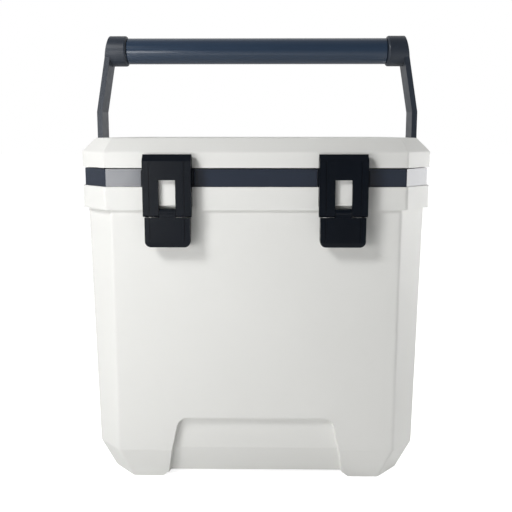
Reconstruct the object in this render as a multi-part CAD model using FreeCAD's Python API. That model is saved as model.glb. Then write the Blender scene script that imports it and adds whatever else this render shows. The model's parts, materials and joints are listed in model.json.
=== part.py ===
import FreeCAD, Part
import math
import os

# Hard cooler chest of about 26 litres: a foam-filled tub with an eight-sided plan, a hinged lid held by
# two over-centre style latches, and an upright bail handle on side pivots.
# Millimetres. X to the right, Y to the back, Z up; the origin is on the ground under the middle.

Vector = FreeCAD.Vector
RIGHT = Vector(1, 0, 0)
BACK = Vector(0, 1, 0)
UP = Vector(0, 0, 1)
LEFT_SIDE = -1
RIGHT_SIDE = 1
SIDES = ((LEFT_SIDE, "left"), (RIGHT_SIDE, "right"))
OVERCUT = 2.0               # how far a cutting tool runs past the face that it opens
CORNER_INSET = 2.0 - math.sqrt(2.0)   # an inset of 1 shortens a 45 degree corner's leg by this

# plan of the rim and lid: half width, half depth, leg of the 45 degree corner
RIM_PLAN = (200.0, 155.0, 32.0)
NECK_PLAN = (195.5, 151.5, 33.0)
KNEE_PLAN = (190.5, 146.5, 28.0)
FOOT_PLAN = (174.7, 136.0, 27.5)

# heights of the body and lid
KNEE_Z = 38.0               # top of the sloping bottom edge
NECK_Z = 326.5              # underside of the rim
RIM_TOP_Z = 352.0
COLLAR_TOP_Z = 372.0
LID_BOTTOM_Z = 373.2
LID_EDGE_Z = 390.5
LID_TOP_Z = 406.0
LID_BEVEL = 15.0            # how far the lid's top face stands in from its sides

# walls
SHELL_WALL = 3.0
LINER_WALL = 2.5
CORE_BOTTOM_Z = 8.0         # underside of the body foam
COLLAR_INSET = 2.5          # the collar band stands in from the rim by this
COLLAR_PLATE = 2.5

# edge radii of the moulded shells
SHELL_EDGE_R = 6.0
LID_EDGE_R = 3.0

# recess between the two front feet
RECESS_TOP_Z = 77.0
RECESS_TOP_HALF = 88.6
RECESS_FOOT_HALF = 106.4
RECESS_CORNER_R = 14.0
RECESS_DEPTH = 8.0
RECESS_FLARE = 2.5          # the recess is wider at its mouth by this on each side

# raised underside between the four feet
FOOT_HEIGHT = 5.0
FOOT_GAP_HALF_Y = 70.0

# tub liner
TUB_TOP_HALF = (168.0, 124.0)
TUB_FLOOR_HALF = (161.0, 117.0)
TUB_FLOOR_Z = 35.0
TUB_CORNER_R = 25.0
TUB_FLOOR_R = 12.0

# lid liner's plug and seal
PLUG_TOP_HALF = (163.0, 119.0)
PLUG_END_HALF = (160.0, 116.0)
PLUG_END_Z = 361.0
PLUG_CORNER_R = 22.0
SEAL_INNER_HALF = (171.0, 127.0)
SEAL_WIDTH = 5.0
SEAL_BOTTOM_Z = 372.4
SEAL_TOP_Z = 374.2
LID_LINER_TOP_Z = 376.0

# rear hinges
HINGE_Y = 163.0
HINGE_Z = 366.0
HINGE_X = 100.0
HINGE_WIDTH = 54.0
HINGE_BARREL_R = 5.5
HINGE_PIN_R = 2.0
HINGE_LEAF = 3.0
HINGE_GAP = 0.4
HINGE_LID_KNUCKLE = 26.0
BODY_LEAF_Z = (329.0, 351.0)
LID_LEAF_Z = (374.5, 389.5)

# latches
LATCH_X = 96.5
LATCH_WIDTH = 53.3
LATCH_FRONT_Y = -168.5
LATCH_PLATE = 4.0
LATCH_SIDE_WALL = 4.0
LATCH_BACK_Y = -155.6
LATCH_PIN_Y = -160.8
LATCH_PIN_Z = 383.2
LATCH_PIN_R = 1.5
PIN_END_INSET = 0.5         # pins end this far inside the frame's sides
LATCH_TURN_R = 5.2          # outside radius of the frame behind and above its pin
LATCH_BEVEL_Z = 381.2
LATCH_BROW = 1.6            # the bevelled top edge ends this far in front of the pin
LATCH_WINDOW_HALF = 9.35
LATCH_WINDOW_TOP_Z = 360.6
LATCH_EAR = 1.8             # side ears reach into the collar band's step
EAR_Z = (352.8, 371.4)
EAR_BACK_Y = -154.0
LINE_X = 19.2               # moulded panel lines on the frame and lever
LINE_WIDTH = 0.9
LINE_DEPTH = 0.6
LID_LUG_HALF = 18.0
LID_LUG_R = 3.4

# latch levers
LEG_TOP_Z = 331.2           # the frame's legs are solid below this
LEVER_PIN_Y = -164.5
LEVER_PIN_Z = 325.0
LEVER_PIN_R = 1.5
LEG_END_R = 5.2
LEVER_HALF = 25.0
LEVER_TOP_Z = 319.3
LEVER_BOTTOM_Z = 286.4
LEVER_PLATE = 3.5
LEVER_BACK_Y = -157.5
LEVER_CORNER_R = 6.5
LEVER_KNUCKLE_R = 4.0
LEVER_KNUCKLE_HALF = 8.9
LEVER_LIP = 2.5             # half the height of the bevel at the lever's lower end
LEVER_BEVEL = 1.0
LEVER_WEB_RISE = 5.0        # the web starts this far below the lever's top
LEVER_WEB_INSET = 0.5

# keepers
KEEPER_HALF = 12.0          # wider than the latch's window, which it fills from behind
KEEPER_Z = (331.8, 364.0)
KEEPER_FRONT_Y = -163.3
KEEPER_PEG_Z = 341.6
KEEPER_PEG_HALF = 4.5       # from the keeper's middle to each peg
KEEPER_PEG_R = 2.0
KEEPER_EDGE_R = 1.0

# handle
PIVOT_Y = 20.0              # behind the middle, so that the folding handle clears the opening lid
PIVOT_Z = 280.0
GRIP_Z = 520.0
BEND_Z = 439.6
ARM_OUTER_X = 213.0
ARM_OUTER_TOP_X = 199.0     # outer face of the arm at the height of the grip
ARM_THICKNESS = 7.0
ARM_HALF_DEPTH = 17.5
ARM_FOOT_R = 20.0
SOCKET_R = 19.8
SOCKET_INNER_X = 172.6
SOCKET_EDGE_R = 3.0
GRIP_R = 16.8
GRIP_GAP = 0.4
GRIP_EDGE = 1.2
CROSSBAR_R = 9.0
CROSSBAR_END_X = 187.0
HANDLE_SCREW_R = 4.0
HANDLE_SCREW_GRIP = 18.0    # length of thread in the crossbar's end
HANDLE_SCREW_HEAD_R = 7.0
HANDLE_SCREW_HEAD = 3.0
HANDLE_SCREW_END_X = 198.0  # outer face of the sunk screw head

# handle pivots
BOSS_R = 22.0
BOSS_END_X = 204.0
WASHER_X = (204.3, 205.7)
WASHER_R = 14.0
BOLT_R = 5.0
BOLT_END_X = 183.0
BOLT_HEAD_X = (213.3, 217.3)
BOLT_HEAD_R = 9.0
BOLT_SOCKET_R = 3.4
BOLT_SOCKET_FLOOR = 1.0     # metal left under the hexagon socket
BOLT_EDGE_R = 1.0
INSERT_R = 7.0
INSERT_END_X = 181.0
INSERT_SOCKET_R = 10.0      # moulded tube behind the wall that holds the insert
RUNNING_FIT = 0.05          # radial clearance of pins in their bores

# small fasteners
SCREW_R = 2.0
SCREW_LENGTH = 9.0
SCREW_HEAD_R = 3.8
SCREW_HEAD = 1.4
SCREW_SPACING = 36.0
SCREW_SLOT = (1.0, 5.0)


def octagon(plan, z):
    """Corner points of a rectangle with 45 degree corners."""
    half_x, half_y, leg = plan
    quarter = ((half_x, half_y - leg), (half_x - leg, half_y))
    points = [(x, y) for x, y in quarter]
    points += [(-x, y) for x, y in reversed(quarter)]
    points += [(-x, -y) for x, y in quarter]
    points += [(x, -y) for x, y in reversed(quarter)]
    return [Vector(x, y, z) for x, y in points]


def rectangle(half, z):
    half_x, half_y = half
    return [Vector(x * half_x, y * half_y, z) for x, y in ((1, -1), (1, 1), (-1, 1), (-1, -1))]


def stacked(rings):
    """Solid with flat faces between rings of points that have parallel edges."""
    return Part.makeLoft([Part.makePolygon(ring + ring[:1]) for ring in rings], True, True)


def inset(plan, distance):
    half_x, half_y, leg = plan
    return (half_x - distance, half_y - distance, leg - distance * CORNER_INSET)


def between(low_plan, high_plan, share):
    return tuple(low + (high - low) * share for low, high in zip(low_plan, high_plan))


def rising_edges(shape):
    """Edges that climb from one level to another."""
    return [edge for edge in shape.Edges if abs(edge.Vertexes[0].Z - edge.Vertexes[-1].Z) > 1.0]


def level_edges(shape, z):
    return [edge for edge in shape.Edges if all(abs(vertex.Z - z) < 0.01 for vertex in edge.Vertexes)]


def block(x, y, z):
    """Box from three (low, high) pairs."""
    return Part.makeBox(x[1] - x[0], y[1] - y[0], z[1] - z[0], Vector(x[0], y[0], z[0]))


def rod(radius, start, end):
    axis = end - start
    return Part.makeCylinder(radius, axis.Length, start, axis)


def rod_x(radius, x_low, x_high, y, z):
    return rod(radius, Vector(x_low, y, z), Vector(x_high, y, z))


def side_span(side, near, far):
    """X range on one side of the middle, from two distances."""
    return tuple(sorted((side * near, side * far)))


def profile_x(points, x_low, x_high):
    """Prism along X from a (y, z) outline."""
    outline = [Vector(x_low, y, z) for y, z in points]
    return Part.Face(Part.makePolygon(outline + outline[:1])).extrude(RIGHT * (x_high - x_low))


def tub_block(low_half, high_half, low_z, high_z, corner_r, floor_r):
    """Tapered block with round upright corners and a rounded lower edge."""
    solid = stacked([rectangle(low_half, low_z), rectangle(high_half, high_z)])
    solid = solid.makeFillet(corner_r, rising_edges(solid))
    if floor_r > 0:
        solid = solid.makeFillet(floor_r, level_edges(solid, low_z))
    return solid


def wall_at(z):
    """Plan of the body's outer face at a height below the rim."""
    if z < KNEE_Z:
        return between(FOOT_PLAN, KNEE_PLAN, z / KNEE_Z)
    return between(KNEE_PLAN, NECK_PLAN, (z - KNEE_Z) / (NECK_Z - KNEE_Z))


def body_block(distance, bottom_z, top_z):
    """Body form below the rim, inset by a distance."""
    levels = [bottom_z, KNEE_Z, top_z]
    return stacked([octagon(inset(wall_at(z), distance), z) for z in levels])


def recess_outline(grow, y):
    """Trapezoid with round upper corners on the plane at y."""
    foot = RECESS_FOOT_HALF + grow
    top = RECESS_TOP_HALF + grow
    top_z = RECESS_TOP_Z + grow
    low_z = -OVERCUT
    lean = math.atan2(foot - top, top_z)
    low_half = foot + OVERCUT * math.tan(lean)
    turn = math.pi / 2 - lean
    leg = RECESS_CORNER_R * math.tan(turn / 2)
    side_dir = Vector(math.sin(lean), 0, -math.cos(lean))
    corner = Vector(top, y, top_z)
    centre = corner - RIGHT * leg - UP * RECESS_CORNER_R
    bisector = Vector(math.cos(lean), 0, math.sin(lean)) + UP
    middle = centre + bisector.normalize() * RECESS_CORNER_R
    right_arc = [corner + side_dir * leg, middle, corner - RIGHT * leg]
    left_arc = [Vector(-point.x, point.y, point.z) for point in reversed(right_arc)]
    low_right = Vector(low_half, y, low_z)
    low_left = Vector(-low_half, y, low_z)
    edges = [
        Part.LineSegment(low_right, right_arc[0]),
        Part.Arc(*right_arc),
        Part.LineSegment(right_arc[2], left_arc[0]),
        Part.Arc(*left_arc),
        Part.LineSegment(left_arc[2], low_left),
        Part.LineSegment(low_left, low_right),
    ]
    return Part.Wire([edge.toShape() for edge in edges])


def recess_block(grow):
    """Everything in front of the recess floor, flared towards its mouth."""
    front_y = -NECK_PLAN[1] - 2 * RECESS_DEPTH
    back_y = -FOOT_PLAN[1] + 2 * RECESS_DEPTH
    slope = RECESS_FLARE / RECESS_DEPTH
    mouth_y = -KNEE_PLAN[1]
    front = recess_outline(grow + slope * (mouth_y - front_y), front_y)
    back = recess_outline(grow - slope * (back_y - mouth_y) / 2, back_y)
    opening = Part.makeLoft([front, back], True, True)
    kept = body_block(RECESS_DEPTH + grow, -OVERCUT, NECK_Z)
    return opening.cut(kept)


def foot_gaps():
    """Shallow bevelled channels that leave four feet."""
    low, high = -OVERCUT, FOOT_HEIGHT
    reach_x, reach_y, leg = RIM_PLAN
    across = [Vector(x, -reach_y, z) for x, z in (
        (-RECESS_FOOT_HALF - high + low, low), (RECESS_FOOT_HALF + high - low, low),
        (RECESS_FOOT_HALF, high), (-RECESS_FOOT_HALF, high))]
    front_to_back = Part.Face(Part.makePolygon(across + across[:1])).extrude(BACK * 2 * reach_y)
    outer_half = FOOT_GAP_HALF_Y + high - low
    side_to_side = profile_x(
        [(-outer_half, low), (outer_half, low), (FOOT_GAP_HALF_Y, high), (-FOOT_GAP_HALF_Y, high)],
        -reach_x, reach_x)
    return front_to_back.fuse(side_to_side)


def core_block():
    """Space inside the outer shell and collar, for the foam and liner."""
    lower = body_block(SHELL_WALL, CORE_BOTTOM_Z, NECK_Z)
    neck = inset(NECK_PLAN, SHELL_WALL)
    upper = stacked([octagon(neck, NECK_Z), octagon(neck, COLLAR_TOP_Z - COLLAR_PLATE)])
    return lower.fuse(upper).cut(recess_block(SHELL_WALL))


def tub_inside(extra):
    """Hollow of the tub up to the collar's top, or with extra the outside of its liner."""
    low = tuple(half + extra for half in TUB_FLOOR_HALF)
    high = tuple(half + extra for half in TUB_TOP_HALF)
    return tub_block(low, high, TUB_FLOOR_Z - extra, COLLAR_TOP_Z, TUB_CORNER_R + extra, TUB_FLOOR_R + extra)


def insert_socket(side, radius):
    return rod_x(radius, side * INSERT_END_X, side * BOSS_END_X, PIVOT_Y, PIVOT_Z)


def keeper_pegs(side):
    """Two pegs that hold a keeper in the rim."""
    pegs = []
    for x in (-KEEPER_PEG_HALF, KEEPER_PEG_HALF):
        start = Vector(side * LATCH_X + x, -RIM_PLAN[1] - OVERCUT, KEEPER_PEG_Z)
        pegs.append(rod(KEEPER_PEG_R, start, start + BACK * (OVERCUT + SHELL_WALL)))
    return pegs[0].fuse(pegs[1])


def make_outer_shell():
    body = body_block(0, 0, NECK_Z)
    body = body.makeFillet(SHELL_EDGE_R, rising_edges(body) + level_edges(body, KNEE_Z))
    rim = stacked([octagon(RIM_PLAN, NECK_Z), octagon(RIM_PLAN, RIM_TOP_Z)])
    rim = rim.makeFillet(SHELL_EDGE_R, rising_edges(rim))
    body = body.fuse(rim).cut(recess_block(0)).cut(foot_gaps())
    for side, name in SIDES:
        body = body.fuse(rod_x(BOSS_R, side * KNEE_PLAN[0], side * BOSS_END_X, PIVOT_Y, PIVOT_Z))
    body = body.cut(core_block())
    for side, name in SIDES:
        body = body.fuse(insert_socket(side, INSERT_SOCKET_R)).cut(insert_socket(side, INSERT_R))
        body = body.cut(keeper_pegs(side))
    for screw in hinge_screw_holes(RIM_PLAN[1], sum(BODY_LEAF_Z) / 2):
        body = body.cut(screw)
    return body.removeSplitter()


def make_body_foam():
    foam = core_block().cut(tub_inside(LINER_WALL))
    for side, name in SIDES:
        foam = foam.cut(insert_socket(side, INSERT_SOCKET_R))
    return foam


def make_inner_liner():
    reach_x, reach_y, leg = RIM_PLAN
    under_collar = block((-reach_x, reach_x), (-reach_y, reach_y), (0, COLLAR_TOP_Z - COLLAR_PLATE))
    return tub_inside(LINER_WALL).cut(tub_inside(0)).common(under_collar)


def make_rim_collar():
    plan = inset(RIM_PLAN, COLLAR_INSET)
    collar = stacked([octagon(plan, RIM_TOP_Z), octagon(plan, COLLAR_TOP_Z)])
    collar = collar.makeFillet(SHELL_EDGE_R - COLLAR_INSET, rising_edges(collar))
    return collar.cut(core_block()).cut(tub_inside(0))


def make_keeper(side):
    middle = side * LATCH_X
    base = block((middle - KEEPER_HALF, middle + KEEPER_HALF), (KEEPER_FRONT_Y, -RIM_PLAN[1]), KEEPER_Z)
    edges = [edge for edge in base.Edges if abs(edge.CenterOfMass.y - KEEPER_FRONT_Y) < 0.01]
    return base.makeFillet(KEEPER_EDGE_R, edges).fuse(keeper_pegs(side)).removeSplitter()


def hinge_screw_points(face_y, z):
    points = []
    for side, name in SIDES:
        for step in (-0.5, 0.5):
            points.append(Vector(side * HINGE_X + step * SCREW_SPACING, face_y, z))
    return points


def hinge_screw_holes(face_y, z):
    depth = SCREW_LENGTH - HINGE_LEAF
    return [rod(SCREW_R, point - BACK * depth, point) for point in hinge_screw_points(face_y, z)]


def make_hinge_screws(z):
    """Four pan head screws through the leaves at one height."""
    face_y = RIM_PLAN[1]
    screws = []
    for point in hinge_screw_points(face_y, z):
        head_base = point + BACK * HINGE_LEAF
        shank = rod(SCREW_R, point - BACK * (SCREW_LENGTH - HINGE_LEAF), head_base)
        head = rod(SCREW_HEAD_R, head_base, head_base + BACK * SCREW_HEAD)
        width, length = SCREW_SLOT
        slot = block(
            (point.x - length / 2, point.x + length / 2),
            (head_base.y + SCREW_HEAD / 2, head_base.y + SCREW_HEAD + OVERCUT),
            (z - width / 2, z + width / 2))
        screws.append(shank.fuse(head).cut(slot).removeSplitter())
    return Part.makeCompound(screws)


def hinge_leaf(middle, width, leaf_z):
    """Screwed leaf with a web up or down to the barrel."""
    face_y = RIM_PLAN[1]
    span = (middle - width / 2, middle + width / 2)
    leaf = block((middle - HINGE_WIDTH / 2, middle + HINGE_WIDTH / 2), (face_y, face_y + HINGE_LEAF), leaf_z)
    leaf_side = 1 if leaf_z[0] > HINGE_Z else -1
    web_end = HINGE_Z + leaf_side * (HINGE_BARREL_R - HINGE_LEAF)
    web_z = tuple(sorted((web_end, sum(leaf_z) / 2)))
    web = block(span, (face_y, face_y + HINGE_LEAF), web_z)
    arm_z = tuple(sorted((web_end, HINGE_Z + leaf_side * HINGE_BARREL_R)))
    arm = block(span, (face_y, HINGE_Y), arm_z)
    barrel = rod_x(HINGE_BARREL_R, span[0], span[1], HINGE_Y, HINGE_Z)
    return leaf.fuse([web, arm, barrel])


def pierce(leaf, z):
    for hole in hinge_screw_points(RIM_PLAN[1], z):
        leaf = leaf.cut(rod(SCREW_R, hole - BACK, hole + BACK * (HINGE_LEAF + OVERCUT)))
    return leaf


def make_hinge_bracket(side):
    middle = side * HINGE_X
    bracket = hinge_leaf(middle, HINGE_WIDTH, BODY_LEAF_Z)
    half_gap = HINGE_LID_KNUCKLE / 2 + HINGE_GAP
    gap = block(
        (middle - half_gap, middle + half_gap),
        (RIM_PLAN[1] - OVERCUT, HINGE_Y + HINGE_BARREL_R + OVERCUT),
        (RIM_TOP_Z + HINGE_GAP, HINGE_Z + HINGE_BARREL_R + OVERCUT))
    pin_hole = rod_x(HINGE_PIN_R, middle - HINGE_WIDTH, middle + HINGE_WIDTH, HINGE_Y, HINGE_Z)
    bracket = bracket.cut(gap).cut(pin_hole)
    return pierce(bracket, sum(BODY_LEAF_Z) / 2).removeSplitter()


def make_lid_leaf(side):
    middle = side * HINGE_X
    leaf = hinge_leaf(middle, HINGE_LID_KNUCKLE, LID_LEAF_Z)
    bore = rod_x(HINGE_PIN_R + RUNNING_FIT, middle - HINGE_WIDTH, middle + HINGE_WIDTH, HINGE_Y, HINGE_Z)
    return pierce(leaf.cut(bore), sum(LID_LEAF_Z) / 2).removeSplitter()


def make_hinge_pin(side):
    middle = side * HINGE_X
    return rod_x(HINGE_PIN_R, middle - HINGE_WIDTH / 2, middle + HINGE_WIDTH / 2, HINGE_Y, HINGE_Z)


def lid_block(distance, bottom_z):
    """Lid form inset by a distance."""
    plan = inset(RIM_PLAN, distance)
    top = inset(RIM_PLAN, LID_BEVEL + distance)
    edge_z = LID_EDGE_Z - distance * CORNER_INSET
    return stacked([octagon(plan, bottom_z), octagon(plan, edge_z), octagon(top, LID_TOP_Z - distance)])


def plug_block(wall):
    low = tuple(half - wall for half in PLUG_END_HALF)
    high = tuple(half - wall for half in PLUG_TOP_HALF)
    return tub_block(low, high, PLUG_END_Z + wall, LID_LINER_TOP_Z, PLUG_CORNER_R - wall, 0)


def ring(half, width, low_z, high_z):
    """Rectangular ring with round corners, wide outwards from an inner half size."""
    wide = tuple(size + width for size in half)
    outer = tub_block(wide, wide, low_z, high_z, PLUG_CORNER_R + width, 0)
    return outer.cut(tub_block(half, half, low_z - OVERCUT, high_z + OVERCUT, PLUG_CORNER_R, 0))


def make_lid_shell():
    lid = lid_block(0, LID_BOTTOM_Z)
    edges = rising_edges(lid) + level_edges(lid, LID_EDGE_Z) + level_edges(lid, LID_TOP_Z)
    lid = lid.makeFillet(LID_EDGE_R, edges)
    for side, name in SIDES:
        middle = side * LATCH_X
        span = (middle - LID_LUG_HALF, middle + LID_LUG_HALF)
        lug = rod_x(LID_LUG_R, span[0], span[1], LATCH_PIN_Y, LATCH_PIN_Z)
        neck = block(span, (LATCH_PIN_Y, -RIM_PLAN[1] + OVERCUT / 2), (LATCH_PIN_Z - LID_LUG_R, LATCH_PIN_Z))
        bore = rod_x(LATCH_PIN_R, span[0] - OVERCUT, span[1] + OVERCUT, LATCH_PIN_Y, LATCH_PIN_Z)
        lid = lid.fuse([lug, neck]).cut(bore)
    lid = lid.cut(lid_block(SHELL_WALL, LID_BOTTOM_Z - OVERCUT))
    for screw in hinge_screw_holes(RIM_PLAN[1], sum(LID_LEAF_Z) / 2):
        lid = lid.cut(screw)
    return lid.removeSplitter()


def make_lid_liner():
    plan = inset(RIM_PLAN, SHELL_WALL)
    plate = stacked([octagon(plan, LID_BOTTOM_Z), octagon(plan, LID_LINER_TOP_Z)])
    liner = plate.fuse(plug_block(0)).cut(plug_block(LINER_WALL))
    liner = liner.cut(ring(SEAL_INNER_HALF, SEAL_WIDTH, LID_BOTTOM_Z - OVERCUT, SEAL_TOP_Z))
    return liner.removeSplitter()


def make_lid_foam():
    space = lid_block(SHELL_WALL, LID_LINER_TOP_Z)
    foam = space.fuse(plug_block(LINER_WALL))
    for screw in hinge_screw_holes(RIM_PLAN[1], sum(LID_LEAF_Z) / 2):
        foam = foam.cut(screw)
    return foam.removeSplitter()


def make_lid_gasket():
    return ring(SEAL_INNER_HALF, SEAL_WIDTH, SEAL_BOTTOM_Z, SEAL_TOP_Z)


def latch_section():
    """Side view of the latch frame: (y, z) outline, round behind its pin and at the leg ends."""
    outline = [(LATCH_FRONT_Y, LATCH_BEVEL_Z), (LATCH_PIN_Y - LATCH_BROW, LATCH_PIN_Z + LATCH_TURN_R)]
    for step in range(0, 7):
        angle = math.radians(90 - 15 * step)
        outline.append((LATCH_PIN_Y + LATCH_TURN_R * math.cos(angle),
                        LATCH_PIN_Z + LATCH_TURN_R * math.sin(angle)))
    outline += [(LATCH_BACK_Y, LEG_TOP_Z), (LEVER_PIN_Y + LEVER_KNUCKLE_R, LEVER_PIN_Z + LEG_END_R)]
    spread = math.degrees(math.acos(LEVER_KNUCKLE_R / LEG_END_R))
    sweep = 180 - 2 * spread
    for step in range(0, 9):
        angle = math.radians(-spread - sweep * step / 8)
        outline.append((LEVER_PIN_Y + LEG_END_R * math.cos(angle),
                        LEVER_PIN_Z + LEG_END_R * math.sin(angle)))
    return outline


def panel_lines(middle, low_z, high_z):
    """Cutters for the upright lines in the latch's front face."""
    depth = (LATCH_FRONT_Y - OVERCUT, LATCH_FRONT_Y + LINE_DEPTH)
    lines = []
    for side, name in SIDES:
        x = middle + side * LINE_X
        lines.append(block((x - LINE_WIDTH / 2, x + LINE_WIDTH / 2), depth, (low_z, high_z)))
    return lines


def make_latch_frame(side):
    middle = side * LATCH_X
    half = LATCH_WIDTH / 2
    frame = profile_x(latch_section(), middle - half, middle + half)
    ear_half = half + LATCH_EAR
    ears = block((middle - ear_half, middle + ear_half), (LATCH_FRONT_Y + LATCH_PLATE, EAR_BACK_Y), EAR_Z)
    frame = frame.fuse(ears)
    pocket_half = half - LATCH_SIDE_WALL
    pocket_x = (middle - pocket_half, middle + pocket_half)
    pocket_front = LATCH_FRONT_Y + LATCH_PLATE
    pocket_back = -RIM_PLAN[1] + 2 * OVERCUT
    frame = frame.cut(block(pocket_x, (pocket_front, pocket_back), (LEG_TOP_Z, LATCH_PIN_Z)))
    frame = frame.cut(rod_x(-pocket_front + LATCH_PIN_Y, pocket_x[0], pocket_x[1], LATCH_PIN_Y, LATCH_PIN_Z))
    frame = frame.cut(block(pocket_x, (LATCH_PIN_Y, pocket_back), (LATCH_PIN_Z, LATCH_PIN_Z + LATCH_TURN_R)))
    window_x = (middle - LATCH_WINDOW_HALF, middle + LATCH_WINDOW_HALF)
    window_y = (LATCH_FRONT_Y - OVERCUT, pocket_back)
    frame = frame.cut(block(window_x, window_y, (LEVER_BOTTOM_Z, LATCH_WINDOW_TOP_Z)))
    for pin_y, pin_z, pin_r in (
            (LATCH_PIN_Y, LATCH_PIN_Z, LATCH_PIN_R + RUNNING_FIT), (LEVER_PIN_Y, LEVER_PIN_Z, LEVER_PIN_R)):
        frame = frame.cut(rod_x(pin_r, middle - ear_half, middle + ear_half, pin_y, pin_z))
    for line in panel_lines(middle, LEVER_BOTTOM_Z, LATCH_BEVEL_Z):
        frame = frame.cut(line)
    return frame.removeSplitter()


def make_latch_pin(side):
    reach = LATCH_WIDTH / 2 - PIN_END_INSET
    middle = side * LATCH_X
    return rod_x(LATCH_PIN_R, middle - reach, middle + reach, LATCH_PIN_Y, LATCH_PIN_Z)


def make_lever_pin(side):
    reach = LATCH_WIDTH / 2 - PIN_END_INSET
    middle = side * LATCH_X
    return rod_x(LEVER_PIN_R, middle - reach, middle + reach, LEVER_PIN_Y, LEVER_PIN_Z)


def lever_section(outer):
    """Side view of the lever: a thin plate, or with outer its deeper side walls."""
    back_top = LEVER_BACK_Y if outer else LATCH_FRONT_Y + LEVER_PLATE
    back_low = LATCH_FRONT_Y + LEVER_PLATE
    lip_z = LEVER_BOTTOM_Z + 2 * LEVER_LIP
    return [
        (LATCH_FRONT_Y, LEVER_TOP_Z), (LATCH_FRONT_Y, lip_z), (LATCH_FRONT_Y + LEVER_BEVEL, LEVER_BOTTOM_Z),
        (back_low, LEVER_BOTTOM_Z), (back_top, lip_z + LEVER_LIP), (back_top, LEVER_TOP_Z)]


def lever_front(middle):
    """Front outline of the lever with round lower corners, as deep as the lever."""
    tall = block((middle - LEVER_HALF, middle + LEVER_HALF), (LATCH_FRONT_Y, LEVER_BACK_Y), (
        LEVER_BOTTOM_Z, LEVER_TOP_Z))
    corners = [edge for edge in tall.Edges
               if edge.BoundBox.YLength > 1.0 and abs(edge.CenterOfMass.z - LEVER_BOTTOM_Z) < 0.01]
    return tall.makeFillet(LEVER_CORNER_R, corners)


def make_latch_lever(side):
    middle = side * LATCH_X
    plate = profile_x(lever_section(False), middle - LEVER_HALF, middle + LEVER_HALF)
    walls = []
    for wall_side, name in SIDES:
        span = side_span(wall_side, LEVER_HALF - LEVER_PLATE, LEVER_HALF)
        walls.append(profile_x(lever_section(True), middle + span[0], middle + span[1]))
    lever = plate.fuse(walls).common(lever_front(middle))
    knuckle_x = (middle - LEVER_KNUCKLE_HALF, middle + LEVER_KNUCKLE_HALF)
    knuckle = rod_x(LEVER_KNUCKLE_R, knuckle_x[0], knuckle_x[1], LEVER_PIN_Y, LEVER_PIN_Z)
    web_y = (LATCH_FRONT_Y + LEVER_WEB_INSET, LEVER_PIN_Y + LEVER_KNUCKLE_R - 2 * LEVER_WEB_INSET)
    web = block(knuckle_x, web_y, (LEVER_TOP_Z - LEVER_WEB_RISE, LEVER_PIN_Z))
    bore_r = LEVER_PIN_R + RUNNING_FIT
    bore = rod_x(bore_r, knuckle_x[0] - OVERCUT, knuckle_x[1] + OVERCUT, LEVER_PIN_Y, LEVER_PIN_Z)
    lever = lever.fuse([knuckle, web]).cut(bore)
    for line in panel_lines(middle, LEVER_BOTTOM_Z + LEVER_CORNER_R, LEVER_TOP_Z + OVERCUT):
        lever = lever.cut(line)
    return lever.removeSplitter()


def arm_band(side):
    """Front view of the arm: upright at the bottom, leaning in towards the grip above the bend."""
    lean = (ARM_OUTER_X - ARM_OUTER_TOP_X) / (GRIP_Z - BEND_Z)
    low_z = PIVOT_Z - ARM_FOOT_R
    high_z = GRIP_Z + SOCKET_R
    top_x = ARM_OUTER_X - lean * (high_z - BEND_Z)
    outer = [(ARM_OUTER_X, low_z), (ARM_OUTER_X, BEND_Z), (top_x, high_z)]
    inner = [(x - ARM_THICKNESS, z) for x, z in reversed(outer)]
    points = [Vector(side * x, PIVOT_Y - SOCKET_R, z) for x, z in outer + inner]
    return Part.Face(Part.makePolygon(points + points[:1])).extrude(BACK * 2 * SOCKET_R)


def arm_outline(side):
    """Side view of the arm: a bar with a round foot and a round head."""
    x_low, x_high = side_span(side, SOCKET_INNER_X, ARM_OUTER_X)
    bar = block((x_low, x_high), (PIVOT_Y - ARM_HALF_DEPTH, PIVOT_Y + ARM_HALF_DEPTH), (PIVOT_Z, GRIP_Z))
    foot = rod_x(ARM_FOOT_R, x_low, x_high, PIVOT_Y, PIVOT_Z)
    head = rod_x(SOCKET_R, x_low, x_high, PIVOT_Y, GRIP_Z)
    return bar.fuse([foot, head])


def make_handle_arm(side):
    arm = arm_band(side).common(arm_outline(side))
    socket_end_x = ARM_OUTER_TOP_X - ARM_THICKNESS / 2
    socket = rod_x(SOCKET_R, side * SOCKET_INNER_X, side * socket_end_x, PIVOT_Y, GRIP_Z)
    mouth = [edge for edge in socket.Edges if abs(abs(edge.CenterOfMass.x) - SOCKET_INNER_X) < 0.01]
    arm = arm.fuse(socket.makeFillet(SOCKET_EDGE_R, mouth)).removeSplitter()
    arm = arm.cut(rod_x(CROSSBAR_R, 0, side * CROSSBAR_END_X, PIVOT_Y, GRIP_Z))
    head_x = HANDLE_SCREW_END_X - HANDLE_SCREW_HEAD
    arm = arm.cut(rod_x(HANDLE_SCREW_HEAD_R, side * head_x, side * ARM_OUTER_X, PIVOT_Y, GRIP_Z))
    arm = arm.cut(rod_x(HANDLE_SCREW_R, 0, side * ARM_OUTER_X, PIVOT_Y, GRIP_Z))
    return arm.cut(rod_x(BOLT_R + RUNNING_FIT, 0, side * (ARM_OUTER_X + OVERCUT), PIVOT_Y, PIVOT_Z))


def handle_screw(side):
    """Countersunk into the arm's outer face and threaded into the end of the crossbar."""
    end_x = side * HANDLE_SCREW_END_X
    tip_x = side * (CROSSBAR_END_X - HANDLE_SCREW_GRIP)
    head_x = side * (HANDLE_SCREW_END_X - HANDLE_SCREW_HEAD)
    shank = rod_x(HANDLE_SCREW_R, tip_x, end_x, PIVOT_Y, GRIP_Z)
    head = rod_x(HANDLE_SCREW_HEAD_R, head_x, end_x, PIVOT_Y, GRIP_Z)
    return shank.fuse(head).removeSplitter()


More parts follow.
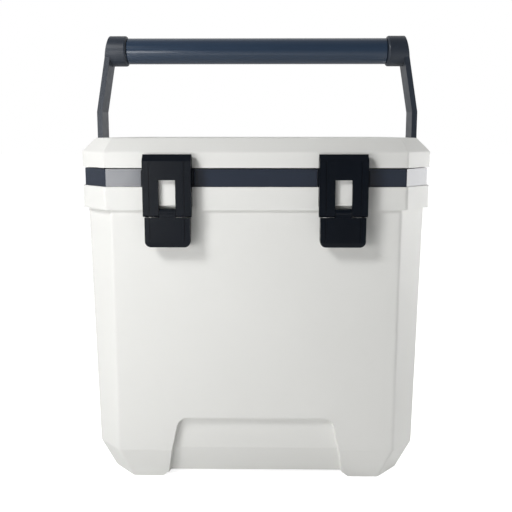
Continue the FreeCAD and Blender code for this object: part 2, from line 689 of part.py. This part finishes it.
def make_handle_crossbar():
    tube = rod_x(CROSSBAR_R, -CROSSBAR_END_X, CROSSBAR_END_X, PIVOT_Y, GRIP_Z)
    for side, name in SIDES:
        tube = tube.cut(handle_screw(side))
    return tube


def make_handle_screws():
    """One screw from each arm's outer face into the end of the crossbar."""
    return Part.makeCompound([handle_screw(side) for side, name in SIDES])


def make_grip_sleeve():
    reach = SOCKET_INNER_X - GRIP_GAP
    sleeve = rod_x(GRIP_R, -reach, reach, PIVOT_Y, GRIP_Z)
    ends = [edge for edge in sleeve.Edges if abs(abs(edge.CenterOfMass.x) - reach) < 0.01]
    sleeve = sleeve.makeFillet(GRIP_EDGE, ends)
    return sleeve.cut(rod_x(CROSSBAR_R + RUNNING_FIT, -reach, reach, PIVOT_Y, GRIP_Z))


def make_pivot_insert(side):
    return insert_socket(side, INSERT_R).cut(insert_socket(side, BOLT_R + RUNNING_FIT))


def make_pivot_washer(side):
    washer = rod_x(WASHER_R, side * WASHER_X[0], side * WASHER_X[1], PIVOT_Y, PIVOT_Z)
    return washer.cut(rod_x(BOLT_R, side * INSERT_END_X, side * ARM_OUTER_X, PIVOT_Y, PIVOT_Z))


def make_pivot_bolt(side):
    shank = rod_x(BOLT_R, side * BOLT_END_X, side * BOLT_HEAD_X[0], PIVOT_Y, PIVOT_Z)
    head = rod_x(BOLT_HEAD_R, side * BOLT_HEAD_X[0], side * BOLT_HEAD_X[1], PIVOT_Y, PIVOT_Z)
    rim = [edge for edge in head.Edges if abs(abs(edge.CenterOfMass.x) - BOLT_HEAD_X[1]) < 0.01]
    head = head.makeFillet(BOLT_EDGE_R, rim)
    socket_base = side * (BOLT_HEAD_X[0] + BOLT_SOCKET_FLOOR)
    hexagon = []
    for step in range(7):
        angle = math.radians(60 * step)
        y = PIVOT_Y + BOLT_SOCKET_R * math.cos(angle)
        z = PIVOT_Z + BOLT_SOCKET_R * math.sin(angle)
        hexagon.append(Vector(socket_base, y, z))
    socket = Part.Face(Part.makePolygon(hexagon)).extrude(RIGHT * side * BOLT_HEAD_R)
    return shank.fuse(head).cut(socket).removeSplitter()


def save(name, shape):
    if not shape.isValid():
        print("not valid:", name)
    print(name, len(shape.Solids), round(shape.Volume / 1000.0, 2), "cm3")
    shape.exportStep("parts/" + name + ".step")


def main():
    os.makedirs("parts", exist_ok=True)
    save("outer_shell", make_outer_shell())
    save("body_foam", make_body_foam())
    save("inner_liner", make_inner_liner())
    save("rim_collar", make_rim_collar())
    save("hinge_screws", make_hinge_screws(sum(BODY_LEAF_Z) / 2))
    save("lid_shell", make_lid_shell())
    save("lid_foam", make_lid_foam())
    save("lid_liner", make_lid_liner())
    save("lid_gasket", make_lid_gasket())
    save("lid_hinge_screws", make_hinge_screws(sum(LID_LEAF_Z) / 2))
    save("handle_crossbar", make_handle_crossbar())
    save("handle_screws", make_handle_screws())
    save("grip_sleeve", make_grip_sleeve())
    for side, name in SIDES:
        save("keeper_" + name, make_keeper(side))
        save("hinge_bracket_" + name, make_hinge_bracket(side))
        save("hinge_pin_" + name, make_hinge_pin(side))
        save("lid_hinge_leaf_" + name, make_lid_leaf(side))
        save("latch_pin_" + name, make_latch_pin(side))
        save("latch_frame_" + name, make_latch_frame(side))
        save("lever_pin_" + name, make_lever_pin(side))
        save("latch_lever_" + name, make_latch_lever(side))
        save("pivot_insert_" + name, make_pivot_insert(side))
        save("pivot_bolt_" + name, make_pivot_bolt(side))
        save("pivot_washer_" + name, make_pivot_washer(side))
        save("handle_arm_" + name, make_handle_arm(side))


main()
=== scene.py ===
import json
import math

import bpy
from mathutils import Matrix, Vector


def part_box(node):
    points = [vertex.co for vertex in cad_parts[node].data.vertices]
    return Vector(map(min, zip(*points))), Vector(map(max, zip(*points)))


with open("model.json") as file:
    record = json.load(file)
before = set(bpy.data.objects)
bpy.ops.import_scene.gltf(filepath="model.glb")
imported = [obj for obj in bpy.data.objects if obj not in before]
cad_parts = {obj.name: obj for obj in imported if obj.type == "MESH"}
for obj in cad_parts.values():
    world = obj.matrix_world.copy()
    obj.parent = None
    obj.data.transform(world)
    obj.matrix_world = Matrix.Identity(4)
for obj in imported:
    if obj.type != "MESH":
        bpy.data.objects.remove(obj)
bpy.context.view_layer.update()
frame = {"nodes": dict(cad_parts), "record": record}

# Places on the chest that the camera and the lights are set from, in metres.
FRONT_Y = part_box("outer_shell")[0].y
LID_TOP_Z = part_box("lid_shell")[1].z
SIDES = ("left", "right")

# Camera: a studio view of the front from just above lid height, looking a little down.
CAMERA_PLACE = (0.0086, FRONT_Y - 0.7135, LID_TOP_Z + 0.0044)
CAMERA_TILT = 7.95          # degrees below the horizon
CAMERA_TURN = 0.63          # degrees to the left
CAMERA_LENS = 45.4          # mm
CAMERA_SENSOR = 36.0        # mm
CAMERA_SHIFT_Y = -0.0623

# Area lights: place, point they face, width and height, and power in watts.
LIGHTS = {
    "key_left": ((-0.72, FRONT_Y - 0.70, 1.05), (0.0, FRONT_Y, 0.25), (0.3, 0.3), 8.8),
    "panel_left": ((-0.51, FRONT_Y - 0.70, 0.31), (0.0, FRONT_Y, 0.31), (0.55, 0.26), 2.8),
    "panel_right": ((1.20, 0.22, 0.35), (0.19, FRONT_Y, 0.25), (0.7, 1.07), 12.5),
    "top": ((0.0, 0.1, 1.9), (0.0, 0.0, 0.22), (1.8, 1.8), 1.5),
}

# Backdrop: its strength where it is seen, and as a light in front of the chest and behind it.
BACKDROP_SEEN = 1.0
BACKDROP_FRONT = 0.06
BACKDROP_BACK = 0.75
BACKDROP_TURNS = (-0.1, 0.6)        # Y of the direction at which the light starts and stops brightening

FLOOR_HALF = 12.0
FLOOR_GLOW = 0.8

# Moulded edge radii in metres, on edges that turn by more than the angle in degrees.
EDGE_RADII = {"latch_frame": 0.0007, "latch_lever": 0.0007, "handle_arm": 0.0009,
              "hinge_bracket": 0.0005, "lid_hinge_leaf": 0.0005}
EDGE_ANGLE = 40.0


# ---------------------------------------------------------------- materials

RANGE_SOCKETS = ("From Min", "From Max", "To Min", "To Max")


class Material:
    """A Principled material with short helpers for its nodes."""

    def __init__(self, name, colour, roughness, **sockets):
        self.material = bpy.data.materials.new(name)
        self.material.use_nodes = True
        self.nodes = self.material.node_tree.nodes
        self.shader = self.nodes["Principled BSDF"]
        self.set("Base Color", (*colour, 1.0))
        self.set("Roughness", roughness)
        for socket, value in sockets.items():
            self.set(socket.replace("_", " "), value)
        self.colour = colour
        self.roughness = roughness
        self.material.diffuse_color = (*colour, 1.0)
        self.normal = None

    def set(self, socket, value):
        self.shader.inputs[socket].default_value = value

    def link(self, source, target):
        self.material.node_tree.links.new(source, target)

    def places(self, stretch=(1.0, 1.0, 1.0)):
        """Object coordinates in metres, times a factor for each axis."""
        coordinates = self.nodes.new("ShaderNodeTexCoord")
        mapping = self.nodes.new("ShaderNodeMapping")
        mapping.inputs["Scale"].default_value = stretch
        self.link(coordinates.outputs["Object"], mapping.inputs["Vector"])
        return mapping.outputs["Vector"]

    def noise(self, scale, detail=3.0, roughness=0.5, stretch=(1.0, 1.0, 1.0)):
        """Noise between 0 and 1; scale is features per metre."""
        node = self.nodes.new("ShaderNodeTexNoise")
        node.inputs["Scale"].default_value = scale
        node.inputs["Detail"].default_value = detail
        node.inputs["Roughness"].default_value = roughness
        self.link(self.places(stretch), node.inputs["Vector"])
        return node.outputs["Fac"]

    def cells(self, scale):
        """Distance to the nearest of scattered points; scale is points per metre."""
        node = self.nodes.new("ShaderNodeTexVoronoi")
        node.feature = "SMOOTH_F1"
        node.inputs["Scale"].default_value = scale
        self.link(self.places(), node.inputs["Vector"])
        return node.outputs["Distance"]

    def remap(self, value, low, high, to_low, to_high):
        node = self.nodes.new("ShaderNodeMapRange")
        for socket, number in zip(RANGE_SOCKETS, (low, high, to_low, to_high)):
            node.inputs[socket].default_value = number
        self.link(value, node.inputs["Value"])
        return node.outputs["Result"]

    def tint(self, value, dark, light):
        """Base colour that runs between two shades of the material's colour."""
        node = self.nodes.new("ShaderNodeMix")
        node.data_type = "RGBA"
        node.inputs["A"].default_value = (*[channel * dark for channel in self.colour], 1.0)
        node.inputs["B"].default_value = (*[min(1.0, channel * light) for channel in self.colour], 1.0)
        self.link(value, node.inputs["Factor"])
        self.link(node.outputs["Result"], self.shader.inputs["Base Color"])

    def gloss(self, value, spread):
        """Roughness that varies about the material's own by spread."""
        rough = self.remap(value, 0.3, 0.7, self.roughness - spread, self.roughness + spread)
        self.link(rough, self.shader.inputs["Roughness"])

    def bump(self, value, height, strength=1.0):
        """Adds relief of a height in metres over what is there."""
        node = self.nodes.new("ShaderNodeBump")
        node.inputs["Distance"].default_value = height
        node.inputs["Strength"].default_value = strength
        self.link(value, node.inputs["Height"])
        if self.normal is not None:
            self.link(self.normal, node.inputs["Normal"])
        self.normal = node.outputs["Normal"]
        self.link(self.normal, self.shader.inputs["Normal"])


def shell_white():
    """Injection moulded white with a fine spark-eroded grain."""
    plastic = Material("shell_white", (0.78, 0.78, 0.755), 0.46, Specular_IOR_Level=0.4)
    plastic.tint(plastic.noise(9.0, 4.0), 0.975, 1.02)
    plastic.gloss(plastic.noise(60.0), 0.02)
    plastic.bump(plastic.cells(900.0), 0.00010, 0.35)
    plastic.bump(plastic.noise(2600.0, 2.0), 0.00005, 0.35)
    return plastic.material


def liner_white():
    """Smooth white lining of the tub and lid."""
    plastic = Material("liner_white", (0.82, 0.82, 0.81), 0.30)
    plastic.tint(plastic.noise(7.0, 3.0), 0.985, 1.01)
    plastic.gloss(plastic.noise(40.0), 0.012)
    plastic.bump(plastic.noise(500.0, 2.0), 0.00004, 0.3)
    return plastic.material


def collar_slate():
    """Polished slate grey band, with faint moulding ripple."""
    plastic = Material("collar_slate", (0.020, 0.028, 0.046), 0.16, Specular_IOR_Level=0.6, Coat_Weight=0.35,
                       Coat_Roughness=0.08)
    plastic.tint(plastic.noise(14.0, 3.0), 0.9, 1.1)
    plastic.gloss(plastic.noise(90.0), 0.03)
    plastic.bump(plastic.noise(160.0, 2.0), 0.00002, 0.3)
    return plastic.material


def handle_slate():
    """Satin slate grey of the handle's arms and end sockets."""
    plastic = Material("handle_slate", (0.025, 0.033, 0.048), 0.42)
    plastic.tint(plastic.noise(30.0, 3.0), 0.93, 1.08)
    plastic.gloss(plastic.noise(120.0), 0.04)
    plastic.bump(plastic.noise(1800.0, 2.0), 0.00003, 0.3)
    return plastic.material


def grip_slate():
    """Satin sleeve with fine draw marks along its length."""
    plastic = Material("grip_slate", (0.028, 0.048, 0.084), 0.21, Specular_IOR_Level=0.6)
    streaks = plastic.noise(500.0, 3.0, 0.6, (0.02, 1.0, 1.0))
    plastic.tint(streaks, 0.92, 1.08)
    plastic.gloss(streaks, 0.03)
    plastic.bump(streaks, 0.00001, 0.3)
    return plastic.material


def latch_black():
    """Matt black of the latch frames and levers."""
    plastic = Material("latch_black", (0.003, 0.005, 0.009), 0.36, Specular_IOR_Level=0.16)
    plastic.tint(plastic.noise(45.0, 3.0), 0.85, 1.2)
    plastic.gloss(plastic.noise(150.0), 0.05)
    plastic.bump(plastic.noise(1500.0, 2.0), 0.00006, 0.45)
    return plastic.material


def hinge_black():
    """Matt black of the hinge brackets and leaves."""
    plastic = Material("hinge_black", (0.014, 0.015, 0.018), 0.5)
    plastic.tint(plastic.noise(50.0, 3.0), 0.8, 1.2)
    plastic.bump(plastic.noise(1400.0, 2.0), 0.00006, 0.5)
    return plastic.material


def washer_grey():
    """Dark grey of the washers behind the handle's arms."""
    plastic = Material("washer_grey", (0.08, 0.08, 0.085), 0.4)
    plastic.tint(plastic.noise(80.0), 0.9, 1.1)
    plastic.bump(plastic.noise(900.0), 0.00004, 0.4)
    return plastic.material


def seal_rubber():
    """Soft black rubber of the lid gasket."""
    rubber = Material("seal_rubber", (0.016, 0.016, 0.018), 0.72)
    rubber.tint(rubber.noise(70.0), 0.8, 1.3)
    rubber.bump(rubber.noise(1100.0, 3.0), 0.00008, 0.5)
    return rubber.material


def foam_cream():
    """Closed cell insulating foam."""
    foam = Material("foam_cream", (0.80, 0.72, 0.50), 0.85)
    foam.tint(foam.noise(30.0, 4.0), 0.9, 1.08)
    foam.bump(foam.cells(700.0), 0.0004, 0.7)
    return foam.material


def pin_steel():
    """Brushed steel of the pins, bolts and screws."""
    steel = Material("pin_steel", (0.56, 0.57, 0.58), 0.28, Metallic=1.0)
    scratches = steel.noise(900.0, 3.0, 0.6, (1.0, 0.05, 1.0))
    steel.tint(scratches, 0.85, 1.1)
    steel.gloss(scratches, 0.08)
    steel.bump(scratches, 0.00002, 0.4)
    return steel.material


def tube_aluminium():
    """Drawn tube of the crossbar, marked along its length."""
    metal = Material("tube_aluminium", (0.66, 0.67, 0.68), 0.33, Metallic=1.0)
    draw_marks = metal.noise(900.0, 3.0, 0.6, (0.03, 1.0, 1.0))
    metal.tint(draw_marks, 0.88, 1.08)
    metal.gloss(draw_marks, 0.07)
    metal.bump(draw_marks, 0.00002, 0.4)
    return metal.material


def insert_brass():
    """Turned brass of the inserts that take the pivot bolts."""
    brass = Material("insert_brass", (0.66, 0.44, 0.16), 0.3, Metallic=1.0)
    turning = brass.noise(1200.0, 2.0, 0.5, (1.0, 0.1, 0.1))
    brass.tint(turning, 0.85, 1.1)
    brass.bump(turning, 0.00002, 0.5)
    return brass.material


SLOT_MATERIALS = {
    "white_shell": shell_white,
    "white_liner": liner_white,
    "grey_collar": collar_slate,
    "handle_plastic": handle_slate,
    "grip_plastic": grip_slate,
    "latch_plastic": latch_black,
    "hinge_plastic": hinge_black,
    "washer_plastic": washer_grey,
    "gasket_rubber": seal_rubber,
    "foam": foam_cream,
    "pin_steel": pin_steel,
    "tube_metal": tube_aluminium,
    "brass_insert": insert_brass,
}


def soften_edges():
    """Small moulded edge radii on the crisp plastic pieces."""
    for stem, radius in EDGE_RADII.items():
        for side in SIDES:
            bevel = frame["nodes"][stem + "_" + side].modifiers.new("edge_radius", "BEVEL")
            bevel.width = radius
            bevel.segments = 2
            bevel.limit_method = "ANGLE"
            bevel.angle_limit = math.radians(EDGE_ANGLE)
            bevel.harden_normals = True


def paint_nodes():
    """Gives every CAD node the material of its slot."""
    made = {slot: make() for slot, make in SLOT_MATERIALS.items()}
    for part in frame["record"]["subparts"]:
        piece = frame["nodes"][part["node"]]
        piece.data.materials.clear()
        piece.data.materials.append(made[part["material_slot"]])


# ---------------------------------------------------------------- studio

def make_camera():
    data = bpy.data.cameras.new("camera")
    camera = bpy.data.objects.new("camera", data)
    bpy.context.scene.collection.objects.link(camera)
    camera.location = CAMERA_PLACE
    camera.rotation_euler = (math.radians(90.0 - CAMERA_TILT), 0.0, math.radians(CAMERA_TURN))
    data.lens = CAMERA_LENS
    data.sensor_width = CAMERA_SENSOR
    data.shift_y = CAMERA_SHIFT_Y
    bpy.context.scene.camera = camera


def soft_light(name, place, target, size, power):
    """Rectangular white area light that faces a target."""
    data = bpy.data.lights.new(name, "AREA")
    data.shape = "RECTANGLE"
    data.size, data.size_y = size
    data.energy = power
    light = bpy.data.objects.new(name, data)
    bpy.context.scene.collection.objects.link(light)
    light.location = place
    light.rotation_euler = (Vector(target) - Vector(place)).to_track_quat("-Z", "Y").to_euler()


def camera_ray(nodes):
    """1 where a surface is seen directly, and 0 where it lights or is mirrored in another."""
    return nodes.new("ShaderNodeLightPath").outputs["Is Camera Ray"]


def make_world():
    """White backdrop as seen, and as a light dim in front of the chest and bright behind it."""
    world = bpy.data.worlds.new("studio")
    bpy.context.scene.world = world
    world.use_nodes = True
    nodes = world.node_tree.nodes
    links = world.node_tree.links
    background = nodes["Background"]
    background.inputs["Color"].default_value = (1.0, 1.0, 1.0, 1.0)
    direction = nodes.new("ShaderNodeSeparateXYZ")
    links.new(nodes.new("ShaderNodeTexCoord").outputs["Generated"], direction.inputs["Vector"])
    given = nodes.new("ShaderNodeMapRange")
    for socket, number in zip(RANGE_SOCKETS, (*BACKDROP_TURNS, BACKDROP_FRONT, BACKDROP_BACK)):
        given.inputs[socket].default_value = number
    links.new(direction.outputs["Y"], given.inputs["Value"])
    strength = nodes.new("ShaderNodeMapRange")
    strength.inputs["To Max"].default_value = BACKDROP_SEEN
    links.new(camera_ray(nodes), strength.inputs["Value"])
    links.new(given.outputs["Result"], strength.inputs["To Min"])
    links.new(strength.outputs["Result"], background.inputs["Strength"])


def make_floor():
    """White paper floor that glows where it is seen and gives no light of its own."""
    mesh = bpy.data.meshes.new("floor")
    corners = [(x * FLOOR_HALF, y * FLOOR_HALF, 0.0) for x, y in ((-1, -1), (1, -1), (1, 1), (-1, 1))]
    mesh.from_pydata(corners, [], [(0, 1, 2, 3)])
    floor = bpy.data.objects.new("floor", mesh)
    bpy.context.scene.collection.objects.link(floor)
    paper = Material("floor_white", (0.86, 0.86, 0.86), 0.8)
    paper.set("Emission Color", (1.0, 1.0, 1.0, 1.0))
    glow = paper.remap(camera_ray(paper.nodes), 0.0, 1.0, 0.0, FLOOR_GLOW)
    paper.link(glow, paper.shader.inputs["Emission Strength"])
    paper.tint(paper.noise(0.8, 2.0), 0.995, 1.0)
    mesh.materials.append(paper.material)


def make_studio():
    bpy.context.scene.view_settings.view_transform = "Standard"
    make_world()
    make_floor()
    for name, light in LIGHTS.items():
        soft_light(name, *light)


paint_nodes()
soften_edges()
make_camera()
make_studio()
